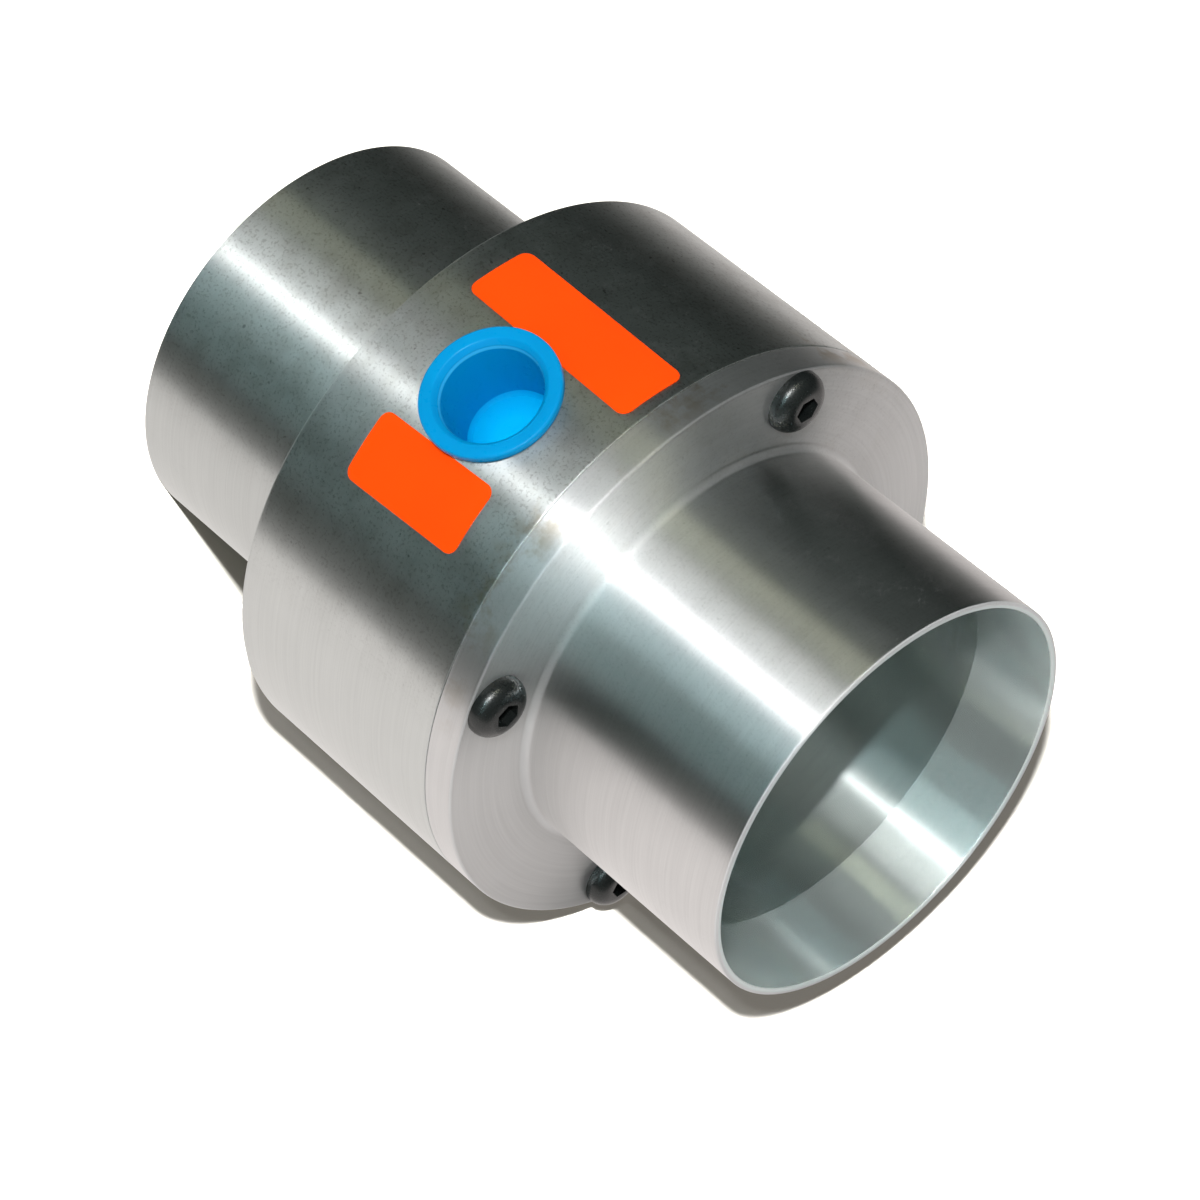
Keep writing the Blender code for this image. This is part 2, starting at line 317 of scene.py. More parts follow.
def paper(name, albedo, shade_colour):
    """White paper for the camera, which keeps shadows, and plain light grey for other rays."""
    made = new_material(name)
    tree = made.node_tree
    lit = node(tree, "BsdfDiffuse", {"Color": albedo})
    shade = node(tree, "Emission", {"Color": shade_colour, "Strength": 1.0})
    seen = node(tree, "AddShader", {0: lit.outputs[0], 1: shade.outputs[0]})
    pale = node(tree, "Emission", {"Color": seen_by_other_rays, "Strength": 1.0})
    camera_ray = node(tree, "LightPath").outputs["Is Camera Ray"]
    either = node(tree, "MixShader", {0: camera_ray, 1: pale.outputs[0], 2: seen.outputs[0]})
    clear = node(tree, "BsdfTransparent")
    behind = node(tree, "NewGeometry").outputs["Backfacing"]
    one_sided = node(tree, "MixShader", {0: behind, 1: either.outputs[0], 2: clear.outputs[0]})
    node(tree, "OutputMaterial", {"Surface": one_sided.outputs[0]})
    return made


floor_paper = paper("floor_paper", (0.10, 0.098, 0.09, 1), shade_colour=(0.040, 0.038, 0.028, 1))
board_paper = paper("board_paper", (0.215, 0.21, 0.195, 1), shade_colour=(0.080, 0.072, 0.060, 1))
print("papers:", floor_paper.name, board_paper.name)


# %% Floor and board
def deselect():
    if bpy.context.mode != "OBJECT":
        bpy.ops.object.mode_set(mode="OBJECT")
    bpy.ops.object.select_all(action="DESELECT")


floor_size = 30
deselect()
bpy.ops.mesh.primitive_plane_add(size=floor_size, location=(0, 0, 0))
floor = bpy.context.object
floor.name = "floor"
floor.data.materials.append(floor_paper)
floor.visible_glossy = False

board_size = 6
board_angle = math.radians(-19.1)
board_gap = 0.0542
deselect()
bpy.ops.mesh.primitive_plane_add(size=board_size, rotation=(0, math.radians(90), board_angle))
board = bpy.context.object
board.name = "backdrop_board"
board.location = (
    -board_gap * math.cos(board_angle), -board_gap * math.sin(board_angle), board_size / 2
)
board.data.materials.append(board_paper)
board.visible_glossy = False
board.visible_diffuse = False
board.visible_transmission = False
board.visible_shadow = False

for lamp, sheet in ((floor_lamp, floor), (board_lamp, board)):
    lit = bpy.data.collections.new("lit_by_" + lamp.name)
    lit.objects.link(sheet)
    lamp.light_linking.receiver_collection = lit
print("floor and board made")

# %% [markdown]
# ## Sizes
#
# The drum, the flange and the ring fit into each other, so they share these sizes, which are the
# CAD model's own. Each one is a radius, or a height above the rear rim. The materials below read
# them too, to know which part of a piece they are on.

# %% Sizes shared by the turned pieces, in millimetres
spigot = 38.1
bore_radius = 34.925
mouth = 36.9
drum = 53.8
drum_back = 46.0
seam_low = 92.45
seam_high = 92.58
flange_front = 98.7
taper_start = 128.6
top = 143.5
port_height = 71.0
chamber = 42.425
ring_seat = 38.625
screw_circle = 48.2
print("part height:", top, "mm, drum:", 2 * drum, "mm across")

# %% [markdown]
# ## Turned aluminium
#
# A lathe tool leaves fine grooves that run round the axis. They scatter light across the
# grooves, along the axis on a round side and outwards on a flat face, and hardly at all along
# them. That is why a turned part shows long streaks. Cycles makes this with anisotropy: the
# tangent given here lies across the grooves, and roughness is stretched along it. The marks
# themselves are noise that changes quickly along the profile and slowly round the axis.


# %% Zones of a turned piece
worn_side = (0.94, -0.34, 0)


def turned_zones(tree, place):
    """Measures where a point is on a turned piece, and makes a mask for each of its zones."""
    flat = vectors(tree, "MULTIPLY", place, (1, 1, 0))
    outward = vectors(tree, "NORMALIZE", flat)
    radius = vectors(tree, "LENGTH", flat)
    height = node(tree, "SeparateXYZ", {"Vector": place}).outputs["Z"]
    normal = node(tree, "NewGeometry").outputs["Normal"]
    flatness = maths(tree, "ABSOLUTE", vectors(tree, "DOT_PRODUCT", normal, (0, 0, 1)))
    in_bore = maths(tree, "LESS_THAN", radius, (mouth + spigot) / 2 * mm)
    half = top / 2
    tapered = maths(
        tree, "GREATER_THAN", distance_from(tree, height, half * mm), (taper_start - half) * mm
    )
    on_drum_radius = maths(tree, "GREATER_THAN", radius, (drum - 0.3) * mm)
    above_seam = maths(tree, "GREATER_THAN", height, (seam_low + seam_high) / 2 * mm)
    return {
        "outward": outward,
        "radius": radius,
        "height": height,
        "normal": normal,
        "flatness": flatness,
        "bore": in_bore,
        "wall": maths(tree, "SUBTRACT", 1.0, in_bore),
        "cone": multiply(tree, in_bore, tapered),
        "rear spigot": maths(tree, "LESS_THAN", height, (drum_back - 0.1) * mm),
        "flange wall": multiply(tree, on_drum_radius, above_seam),
        "face": spread(tree, flatness, 0.985, 0.995),
        "rounded": multiply(tree, spread(tree, flatness, 0.2, 0.35), spread(tree, flatness, 0.98, 0.93)),
        "upper": spread(tree, vectors(tree, "DOT_PRODUCT", outward, worn_side), 0.25, 0.65),
    }


print("zones ready")

# %% [markdown]
# A part that has been handled and stored also has wear. Two sets of straight scratches cross the
# outer wall. The side that faces up in the photograph has dull clouds, small pits, a fine grain
# of specks, and a brown stain along the seam. Each is a noise, cut off at two levels into a mask.


# %% Marks and wear that the turned metals share
def lathe_marks(tree, zones):
    """Noise that runs round the axis as a tool leaves it: the coarse marks, and all marks."""
    drift = 0.0006
    along = maths(tree, "MULTIPLY_ADD", zones["radius"], 0.8, zones["height"])
    upright = node(tree, "CombineXYZ", {"Z": along}).outputs["Vector"]
    groove = vectors(tree, "MULTIPLY_ADD", zones["outward"], (drift, drift, 0), upright)
    coarse = noise(tree, groove, 2600, 3.0, 0.6)
    fine = noise(tree, groove, 9000, 2.0, 0.7)
    return coarse, maths(tree, "MULTIPLY_ADD", fine, 0.6, coarse)


def scratches(tree, place, turn, scale, share):
    """Fine straight scratches in one direction, broken up into short lengths."""
    stretched = {"Vector": place, "Rotation": turn, "Scale": (1.0, 14.0, 14.0)}
    spun = node(tree, "Mapping", stretched).outputs["Vector"]
    cells = node(tree, "TexVoronoi", {"Vector": spun, "Scale": scale}, feature="DISTANCE_TO_EDGE")
    line = spread(tree, cells.outputs["Distance"], 0.012, 0.004)
    where = noise(tree, place, scale * 2.3)
    return multiply(tree, line, spread(tree, where, 1 - share, 1 - share + 0.06))


def wall_scratches(tree, place, zones):
    across_scratch = scratches(tree, place, (0.5, 0.3, 0.9), scale=60, share=0.50)
    along_scratch = scratches(tree, place, (-0.7, 0.8, 0.2), scale=75, share=0.46)
    return multiply(tree, maths(tree, "MAXIMUM", across_scratch, along_scratch), zones["wall"])


def blotches(tree, place, scale, low, high):
    return spread(tree, noise(tree, place, scale, 5.0, 0.65), low, high)


print("marks and wear ready")

# %% Colour of the turned metals
cloud_colour = (0.25, 0.24, 0.21, 1)
pit_colour = (0.12, 0.12, 0.11, 1)
stain_colour = (0.36, 0.28, 0.17, 1)
bore_tint = (0.93, 1.0, 0.985, 1)
stain_height = 93.2


def turned_colour(tree, place, zones, coarse, colour, mottle):
    """The metal's colour: a little uneven along the marks, worn outside, and cooler inside."""
    dim = tuple(channel * 0.93 for channel in colour)
    tint = mix_colours(tree, spread(tree, coarse, 0.3, 0.7), (*dim, 1), (*colour, 1))
    outside = multiply(tree, zones["wall"], zones["upper"])

    clouds = multiply(tree, blotches(tree, place, 150, 0.45, 0.65), outside, mottle)
    tint = mix_colours(tree, clouds, tint, cloud_colour)

    pits = spread(tree, noise(tree, place, 820, 1.0, 0.4), 0.75, 0.79)
    grains = spread(tree, noise(tree, place, 1900, 2.0, 0.6), 0.54, 0.66, 0, 0.55)
    pitted = multiply(tree, maths(tree, "MAXIMUM", pits, grains), outside, 2.6 * mottle)
    tint = mix_colours(tree, pitted, tint, pit_colour)

    by_seam = spread(tree, distance_from(tree, zones["height"], stain_height * mm), 0.006, 0.002)
    stain = multiply(tree, by_seam, blotches(tree, place, 85, 0.52, 0.62), outside, 0.5)
    tint = mix_colours(tree, stain, tint, stain_colour)
    return mix_colours(tree, zones["bore"], tint, bore_tint, blend="MULTIPLY")


print("colour ready")


# %% Roughness and metallic value of the turned metals
def turned_roughness(tree, place, zones, scratched, outside, rear, inside):
    """The finish of each zone, uneven in patches, and duller on flat faces and in scratches."""
    rough = add_where(tree, zones["rear spigot"], rear - outside, outside)
    rough = add_where(tree, zones["bore"], inside - outside, rough)
    rough = add_where(tree, zones["cone"], -0.035, rough)
    patch = noise(tree, place, 110, 5.0, 0.65)
    rough = add_where(tree, spread(tree, patch, 0.3, 0.7, -1, 1), 0.018, rough)
    rough = add_where(tree, zones["flatness"], 0.20, rough)
    return add_where(tree, scratched, 0.12, rough)


def turned_metallic(tree, zones, scratched, rim):
    """Below 1 where the surface is paler and flatter than clean metal, as on a rounded edge."""
    rim_low, rim_high = rim
    on_rim = maths(
        tree, "COMPARE", zones["height"], (rim_low + rim_high) / 2, (rim_high - rim_low) / 2
    )
    on_edge = multiply(tree, zones["rounded"], spread(tree, zones["upper"], 0, 1, 0.55, 0.2))
    metal = add_where(tree, maths(tree, "MAXIMUM", on_edge, on_rim), -0.55, 1.0)
    metal = add_where(tree, zones["bore"], -0.03, metal)
    metal = add_where(tree, zones["cone"], -0.16, metal)
    metal = add_where(tree, zones["face"], -0.11, metal)
    metal = add_where(tree, zones["flange wall"], -0.05, metal)
    return add_where(tree, scratched, -0.10, metal, clamp=True)


print("finish ready")

# %% Turned metal material
mark_depth = 0.0000003
scratch_depth = 0.000002
no_rim = (1.0, 2.0)
thin_rim = (0.1432, 0.144)


def turned_metal(name, colour, outside, rear=None, inside=None, rim=no_rim, mottle=0.0):
    """Turned aluminium. outside, rear and inside are the roughness of the outer wall, of the
    rear spigot and of the bore. Rounded edges, and heights inside rim in metres, have a paler
    finish, and so have the bore's conical ends. mottle is how worn the outer wall is."""
    made = new_material(name)
    tree = made.node_tree
    place = node(tree, "TexCoord").outputs["Object"]
    zones = turned_zones(tree, place)
    coarse, marks = lathe_marks(tree, zones)
    scratched = wall_scratches(tree, place, zones)
    turned = node(tree, "Bump", {"Height": marks, "Strength": 1.0, "Distance": mark_depth})
    worn = node(
        tree,
        "Bump",
        {
            "Height": scratched,
            "Strength": 0.5,
            "Distance": scratch_depth,
            "Normal": turned.outputs["Normal"],
        },
    )
    round_way = vectors(tree, "CROSS_PRODUCT", (0, 0, 1), zones["outward"])
    shader = node(
        tree,
        "BsdfPrincipled",
        {
            "Base Color": turned_colour(tree, place, zones, coarse, colour, mottle),
            "Metallic": turned_metallic(tree, zones, scratched, rim),
            "Roughness": turned_roughness(
                tree, place, zones, scratched, outside, rear or outside, inside or outside
            ),
            "Anisotropic": 1.0,
            "Tangent": vectors(tree, "CROSS_PRODUCT", round_way, zones["normal"]),
            "Normal": worn.outputs["Normal"],
        },
    )
    node(tree, "OutputMaterial", {"Surface": shader.outputs[0]})
    return made


drum_metal = turned_metal(
    "turned_drum_aluminium", (0.655, 0.685, 0.675), outside=0.295, rear=0.37, inside=0.25, mottle=0.22
)
flange_metal = turned_metal(
    "turned_flange_aluminium",
    (0.74, 0.75, 0.75),
    outside=0.365,
    inside=0.25,
    rim=thin_rim,
    mottle=0.06,
)
bore_metal = turned_metal("bored_ring_aluminium", (0.68, 0.69, 0.70), outside=0.34)
print("turned metals:", drum_metal.name, flange_metal.name, bore_metal.name)

# %% [markdown]
# ## Turned pieces
#
# A lathe piece could come from a profile and a Spin. Here one ring is drawn out station by
# station with Extrude and Scale, because each corner then stays easy to find again by its
# radius and height, and a Bevel can round just that corner as a tool would.

# %% Draw a ring out through stations
turned_steps = 240


def draw_out(name, stations, steps=turned_steps):
    """Draws one ring out through stations, each a radius and a height in millimetres."""
    deselect()
    radius, height = stations[0]
    bpy.ops.mesh.primitive_circle_add(vertices=steps, radius=radius * mm, location=(0, 0, height * mm))
    piece = bpy.context.object
    piece.name = name
    piece.data.name = name
    bpy.ops.object.transform_apply(location=True, rotation=True, scale=True)
    bpy.ops.object.mode_set(mode="EDIT")
    bpy.ops.mesh.select_all(action="SELECT")
    for (here, low), (there, high) in zip(stations, stations[1:]):
        rise = (high - low) * mm
        bpy.ops.mesh.extrude_edges_move(TRANSFORM_OT_translate={"value": (0, 0, rise)})
        if there != here:
            grow = there / here
            bpy.ops.transform.resize(value=(grow, grow, 1), center_override=(0, 0, 0))
    bpy.ops.object.mode_set(mode="OBJECT")
    return piece


print("turning steps:", turned_steps)


# %% Find rings again, and close or cap a shell
def activate(piece):
    """Makes this the only selected piece, and the one that operators act on."""
    deselect()
    bpy.context.view_layer.objects.active = piece
    piece.select_set(True)


def pick_rings(piece, rings, slack=0.02):
    """Selects whole rings in edit mode, by radius and height in millimetres."""
    activate(piece)
    bpy.ops.object.mode_set(mode="EDIT")
    bpy.ops.mesh.select_mode(type="EDGE")
    bpy.ops.mesh.select_all(action="DESELECT")
    shape = bmesh.from_edit_mesh(piece.data)
    for edge in shape.edges:
        for radius, height in rings:
            if all(
                abs(math.hypot(v.co.x, v.co.y) - radius * mm) < slack * mm
                and abs(v.co.z - height * mm) < slack * mm
                for v in edge.verts
            ):
                edge.select = True
    shape.select_flush_mode()
    bmesh.update_edit_mesh(piece.data)


def close_loop(piece, first, last):
    """Joins the last ring to the first, so that the shell is a closed body."""
    pick_rings(piece, [first, last])
    bpy.ops.mesh.bridge_edge_loops()
    bpy.ops.object.mode_set(mode="OBJECT")


def cap_ends(piece, first, last):
    """Fills the first and the last ring with a flat face each."""
    for ring in (first, last):
        pick_rings(piece, [ring])
        bpy.ops.mesh.edge_face_add()
        bpy.ops.object.mode_set(mode="OBJECT")


print("ring tools ready")


# %% Round, mark and cut, as tools would
def round_corner(piece, ring, width, segments):
    """Bevels one ring, as a tool would round that corner."""
    pick_rings(piece, [ring])
    bpy.ops.mesh.bevel(
        offset=width * mm, offset_type="OFFSET", segments=segments, profile=0.5, affect="EDGES"
    )
    bpy.ops.object.mode_set(mode="OBJECT")


def sharp_corner(piece, ring):
    """Marks one ring sharp, so that the shading does not run over that corner."""
    pick_rings(piece, [ring])
    bpy.ops.mesh.mark_sharp()
    bpy.ops.object.mode_set(mode="OBJECT")


def bore(piece, cutter):
    """Cuts one piece with another and takes the cutter away."""
    activate(piece)
    cut = piece.modifiers.new("Bore", "BOOLEAN")
    cut.operation = "DIFFERENCE"
    cut.solver = "EXACT"
    cut.object = cutter
    bpy.ops.object.modifier_apply(modifier=cut.name)
    bpy.data.objects.remove(cutter)


def finish_piece(piece, material, body="housing", angle=30):
    """Merges doubles, turns faces outwards, smooths round faces and gives the material."""
    activate(piece)
    bpy.ops.object.mode_set(mode="EDIT")
    bpy.ops.mesh.select_all(action="SELECT")
    bpy.ops.mesh.remove_doubles(threshold=0.001 * mm)
    bpy.ops.mesh.normals_make_consistent(inside=False)
    bpy.ops.object.mode_set(mode="OBJECT")
    bpy.ops.object.shade_smooth_by_angle(angle=math.radians(angle))
    piece.data.materials.clear()
    piece.data.materials.append(material)
    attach(piece, body)
    print(piece.name, "faces:", len(piece.data.polygons))


print("edge and cutting tools ready")

# %% [markdown]
# ### The drum with the rear spigot
#
# The drum is one thick bar with the rear spigot turned down from it. Inside, a wide recess
# makes the air chamber, and the rear mouth is bored to a slight taper.

# %% Draw the drum
drum_stations = [
    (spigot, 0),
    (spigot, 0.7),
    (spigot, 24),
    (spigot, 43.9),
    (spigot, drum_back),
    (40.2, drum_back),
    (53.0, drum_back),
    (drum, drum_back),
    (drum, 46.9),
    (drum, 57),
    (drum, 85),
    (drum, 92.0),
    (drum, seam_low),
    (chamber, seam_low),
    (chamber, 85),
    (chamber, 57),
    (chamber, 54.5),
    (ring_seat, 54.5),
    (ring_seat, 50.0),
    (bore_radius, 50.0),
    (bore_radius, 30),
    (bore_radius, top - taper_start),
    (mouth - 0.08, 0.6),
    (mouth, 0),
]
drum_piece = draw_out("drum", drum_stations)
close_loop(drum_piece, drum_stations[0], drum_stations[-1])
print("drum drawn through", len(drum_stations), "rings")


# %% Round the drum's corners
rim_round = 0.28
mouth_round = 0.22
foot_fillet = 1.5
edge_round = 0.45
seam_round = 0.16


def round_turned_corners(piece, rim, shoulder, seam, taper_end):
    """Rounds a spigot's rim, the fillet at its foot and the drum's edges, given by their heights."""
    round_corner(piece, (spigot, rim), rim_round, 3)
    round_corner(piece, (mouth, rim), mouth_round, 3)
    round_corner(piece, (spigot, shoulder), foot_fillet, 8)
    round_corner(piece, (drum, shoulder), edge_round, 4)
    round_corner(piece, (drum, seam), seam_round, 3)
    sharp_corner(piece, (bore_radius, taper_end))


round_turned_corners(drum_piece, rim=0, shoulder=drum_back, seam=seam_low, taper_end=top - taper_start)
print("drum corners rounded")


# %% Bore the air port and its countersink
def port_cutter(name, inner, outer, inner_radius, outer_radius, sides=96):
    """A round cutter along the port. Distances are from the bore's axis, in millimetres."""
    deselect()
    bpy.ops.mesh.primitive_cone_add(
        vertices=sides,
        radius1=inner_radius * mm,
        radius2=outer_radius * mm,
        depth=(outer - inner) * mm,
        location=((inner + outer) / 2 * mm, 0, port_height * mm),
        rotation=(0, math.radians(90), 0),
    )
    made = bpy.context.object
    made.name = name
    return made


past_wall = 56.8
bore(drum_piece, port_cutter("port_cutter", 40.375, past_wall, inner_radius=9.48, outer_radius=9.99))
bore(drum_piece, port_cutter("port_mouth_cutter", 52.5, past_wall, inner_radius=9.9, outer_radius=12.05))
print("port bored")

# %% Drill the screw holes in the drum's wall
screw_hole = 3.475


def screw_hole_cutters(low, high):
    for index in range(4):
        angle = math.radians(45 + 90 * index)
        deselect()
        bpy.ops.mesh.primitive_cylinder_add(
            vertices=48,
            radius=screw_hole * mm,
            depth=(high - low) * mm,
            location=(
                screw_circle * math.cos(angle) * mm,
                screw_circle * math.sin(angle) * mm,
                (low + high) / 2 * mm,
            ),
        )
        yield bpy.context.object


for tool in screw_hole_cutters(low=81.1, high=95):
    bore(drum_piece, tool)
finish_piece(drum_piece, drum_metal)
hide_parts("drum_body")

# %% [markdown]
# ### The front flange and spigot
#
# The flange and the front spigot are one turned piece. Its pilot goes into the drum's recess
# and closes the chamber, and the spigot's inside is opened to a taper that ends in a thin rim.

# %% Draw the flange
pilot = 42.125
pilot_groove = 40.045
flange_stations = [
    (spigot, top),
    (spigot, top - 0.7),
    (spigot, 121),
    (spigot, 100.8),
    (spigot, flange_front),
    (40.2, flange_front),
    (53.0, flange_front),
    (drum, flange_front),
    (drum, 97.8),
    (drum, 93.1),
    (drum, seam_high),
    (pilot, seam_high),
    (pilot, 91.29),
    (pilot_groove, 91.29),
    (pilot_groove, 88.91),
    (pilot, 88.91),
    (pilot, 87.5),
    (ring_seat, 87.5),
    (ring_seat, 92.4),
    (bore_radius, 92.4),
    (bore_radius, 110),
    (bore_radius, taper_start),
    (mouth - 0.08, top - 0.6),
    (mouth, top),
]
flange_piece = draw_out("flange", flange_stations)
close_loop(flange_piece, flange_stations[0], flange_stations[-1])
round_turned_corners(
    flange_piece, rim=top, shoulder=flange_front, seam=seam_high, taper_end=taper_start
)
for tool in screw_hole_cutters(low=90, high=101):
    bore(flange_piece, tool)
finish_piece(flange_piece, flange_metal)
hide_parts("end_flange")

# %% [markdown]
# ### The nozzle ring
#
# Deep in the bore sits the sleeve that makes the machine work: a rounded entry, a narrow
# throat, and a step where a ring of slanted jets blows towards the rear.


# %% Draw the nozzle ring
def quarter_arc(radius, height, grow, drop, steps=12):
    """Stations on a quarter of an ellipse, from this radius and height."""
    turns = [math.radians(90 * step / steps) for step in range(steps + 1)]
    return [(radius + grow * math.sin(t), height - drop * (1 - math.cos(t))) for t in turns]


ring_outside = 38.325
ring_groove = 36.245
ring_top = 92.1
throat = 31.75
ring_stations = [
    *quarter_arc(bore_radius, ring_top, grow=throat - bore_radius, drop=8.5),
    (throat, 61.9),
    (bore_radius, 58.7),
    (bore_radius, 50.3),
    (ring_outside, 50.3),
    (ring_outside, 51.21),
    (ring_groove, 51.21),
    (ring_groove, 53.59),
    (ring_outside, 53.59),
    (ring_outside, 88.61),
    (ring_groove, 88.61),
    (ring_groove, 90.99),
    (ring_outside, 90.99),
    (ring_outside, ring_top),
]
ring_piece = draw_out("nozzle_sleeve", ring_stations, 180)
close_loop(ring_piece, ring_stations[0], ring_stations[-1])
print("nozzle ring drawn through", len(ring_stations), "rings")

# %% Drill the slanted jets
jet_count = 18
jet_slant = math.radians(25)
jet_radius = 1.1
jet_length = 17.8
jet_middle = Vector((35.83, 0, 65.65))
for index in range(jet_count):
    angle = math.tau * (index + 0.5) / jet_count
    deselect()
    bpy.ops.mesh.primitive_cylinder_add(vertices=24, radius=jet_radius * mm, depth=jet_length * mm)
    jet = bpy.context.object
    out_to_wall = Matrix.Translation(jet_middle * mm)
    jet.matrix_world = Matrix.Rotation(angle, 4, "Z") @ out_to_wall @ Matrix.Rotation(jet_slant, 4, "Y")
    bore(ring_piece, jet)
finish_piece(ring_piece, bore_metal)
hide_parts("nozzle_ring")

# %% [markdown]
# ## Black button-head screws
#
# Four screws hold the flange. Each head is a low dome with a hexagon socket, blackened by an
# oxide bath and wiped with oil, so it is dark with soft highlights.


# %% Black oxide material
def fine_grain(tree, place, scale, detail, rough, strength, depth):
    """A fine grain that varies the roughness between two values and lifts the surface a little."""
    grain = noise(tree, place, scale, detail, 0.6)
    bump = node(tree, "Bump", {"Height": grain, "Strength": strength, "Distance": depth})
    return spread(tree, grain, 0.3, 0.7, *rough), bump.outputs["Normal"]


def black_oxide(name, deep, pale):
    made = new_material(name)
    tree = made.node_tree
    place = node(tree, "TexCoord").outputs["Object"]
    rough, normal = fine_grain(tree, place, 2600, 4.0, (0.24, 0.36), strength=0.4, depth=0.00002)
    shader = node(
        tree,
        "BsdfPrincipled",
        {
            "Base Color": mix_colours(tree, noise(tree, place, 420), deep, pale),
            "Metallic": 0.35,
            "Roughness": rough,
            "Specular IOR Level": 0.8,
            "Normal": normal,
        },
    )
    node(tree, "OutputMaterial", {"Surface": shader.outputs[0]})
    return made


screw_black = black_oxide("black_oxide_steel", (0.004, 0.007, 0.007, 1), (0.018, 0.021, 0.020, 1))
print("screws:", screw_black.name)

# %% Model one screw
crown = 2.507
head = 5.45
head_height = 3.3
brim_height = 0.4
shank = 3.175
shank_end = -15.9
shank_chamfer = 0.6
socket = 2.0
socket_depth = 2.1
dome = [
    (
        crown + (head - crown) * math.sin(math.radians(90 * step / 12)),
        brim_height + (head_height - brim_height) * math.cos(math.radians(90 * step / 12)),
    )
    for step in range(13)
]
screw_stations = [
    *dome,
    (head, 0),
    (shank, 0),
    (shank, shank_end + shank_chamfer),
    (shank - shank_chamfer, shank_end),
]
screw = draw_out("screw_1", screw_stations, 72)
cap_ends(screw, screw_stations[0], screw_stations[-1])
round_corner(screw, (head, brim_height), 0.15, 2)
deselect()
bpy.ops.mesh.primitive_cylinder_add(
    vertices=6,
    radius=socket / math.cos(math.radians(30)) * mm,
    depth=2 * socket_depth * mm,
    location=(0, 0, head_height * mm),
)
bore(screw, bpy.context.object)
print("screw modelled,", len(screw.data.polygons), "faces")

# %% Copy the screw and set the four in place
seat = flange_front + 0.03
socket_turn = 0.35


def place_screw(piece, angle):
    piece.rotation_euler = (0, 0, angle + socket_turn)
    piece.location = (
        screw_circle * math.cos(angle) * mm,
        screw_circle * math.sin(angle) * mm,
        seat * mm,
    )
    activate(piece)
    bpy.ops.object.transform_apply(location=True, rotation=True, scale=True)


screws = [screw]
for number in (2, 3, 4):
    copy = screw.copy()
    copy.data = screw.data.copy()
    copy.name = f"screw_{number}"
    bpy.context.scene.collection.objects.link(copy)
    screws.append(copy)
for number, piece in enumerate(screws, 1):
    place_screw(piece, math.radians(45 + 90 * (number - 1)))
    finish_piece(piece, screw_black)
    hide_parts(f"button_screw_{number}")

# %% [markdown]
# ## The blue port plug
#
# The plug is a thin moulded cup with a flat flange, in bright blue polyethylene. Light goes a
# little way into such plastic, so its thin walls look brighter than a painted surface would. The
# cup's colours also hold painted light and shade: the floor is painted paler, brightest in the
# middle, the inner wall is painted darker as shade, and a thin pale ring at the cup's mouth,
# where the flange turns down into the cup, is a painted highlight.

# %% Draw the plug along Z and lay it along the port
plug_edge = 11.9
plug_top = 55.7
plug_under = 54.1
plug_lip = 9.65
plug_shank = 8.8
plug_end = 40.525
plug_stations = [
    (0.6, 41.55),
    (7.05, 41.525),
    (7.75, 42.225),
    (8.55, 54.0),
    (8.825, 54.85),
    (plug_lip, plug_top),
    (plug_edge, plug_top),
    (plug_edge, plug_under),
    (9.6, plug_under),
    (plug_shank, plug_end),
]
plug = draw_out("plug", plug_stations, 128)
cap_ends(plug, plug_stations[0], plug_stations[-1])
round_corner(plug, (plug_edge, plug_top), 0.5, 5)
round_corner(plug, (plug_edge, plug_under), 0.3, 3)
round_corner(plug, (plug_lip, plug_top), 0.2, 3)
round_corner(plug, (plug_shank, plug_end), 0.5, 4)
activate(plug)
plug.rotation_euler = (0, math.radians(90), 0)
plug.location = (0, 0, port_height * mm)
bpy.ops.object.transform_apply(location=True, rotation=True, scale=True)
print("plug drawn")


# %% Blue plastic material
def soft_plastic(name, deep, bright, cup_wall_painted_shade, cup_floor_painted_light, cup_edge_painted_shade, lip_painted_highlight):
    """Moulded plastic. The cup's floor, wall and mouth have painted light, shade and a highlight."""
    made = new_material(name)
    tree = made.node_tree
    place = node(tree, "TexCoord").outputs["Object"]
    out = node(tree, "SeparateXYZ", {"Vector": place}).outputs["X"]
    from_port = vectors(tree, "SUBTRACT", place, (0, 0, port_height * mm))
    from_port = vectors(tree, "LENGTH", vectors(tree, "MULTIPLY", from_port, (0, 1, 1)))

    tint = mix_colours(tree, spread(tree, noise(tree, place, 90), 0.35, 0.65), deep, bright)
    # Painted shade: inside the cup, below the flange top, the blue is made darker.
    cup_shade_mask = spread(tree, out, 55.5 * mm, 54.0 * mm)
    tint = mix_colours(tree, cup_shade_mask, tint, cup_wall_painted_shade)
    # Painted light and shade: the cup's floor is made much paler, most in the middle, and darker towards
    # the wall.
    floor_painted_light_and_shade = mix_colours(tree, spread(tree, from_port, 3.0 * mm, 7.5 * mm), cup_floor_painted_light, cup_edge_painted_shade)
    painted_floor_mask = spread(tree, out, 42.6 * mm, 41.7 * mm)
    tint = mix_colours(tree, painted_floor_mask, tint, floor_painted_light_and_shade)
    # Painted highlight: a thin pale ring at the cup's mouth, where the flange turns down.
    ring = spread(tree, distance_from(tree, from_port, 8.68 * mm), 0.13 * mm, 0.05 * mm)
    lip_highlight_mask = multiply(tree, ring, maths(tree, "COMPARE", out, 54.6 * mm, 0.6 * mm))
    tint = mix_colours(tree, lip_highlight_mask, tint, lip_painted_highlight)

    rough, normal = fine_grain(tree, place, 900, 3.0, (0.26, 0.34), strength=0.15, depth=0.00005)
    shader = node(
        tree,
        "BsdfPrincipled",
        {
            "Base Color": tint,
            "Roughness": rough,
            "Specular IOR Level": 0.10,
            "Subsurface Weight": 0.25,
            "Subsurface Radius": (0.3, 0.8, 1.0),
            "Subsurface Scale": 0.001,
            "Normal": normal,
        },
    )
    node(tree, "OutputMaterial", {"Surface": shader.outputs[0]})
    return made


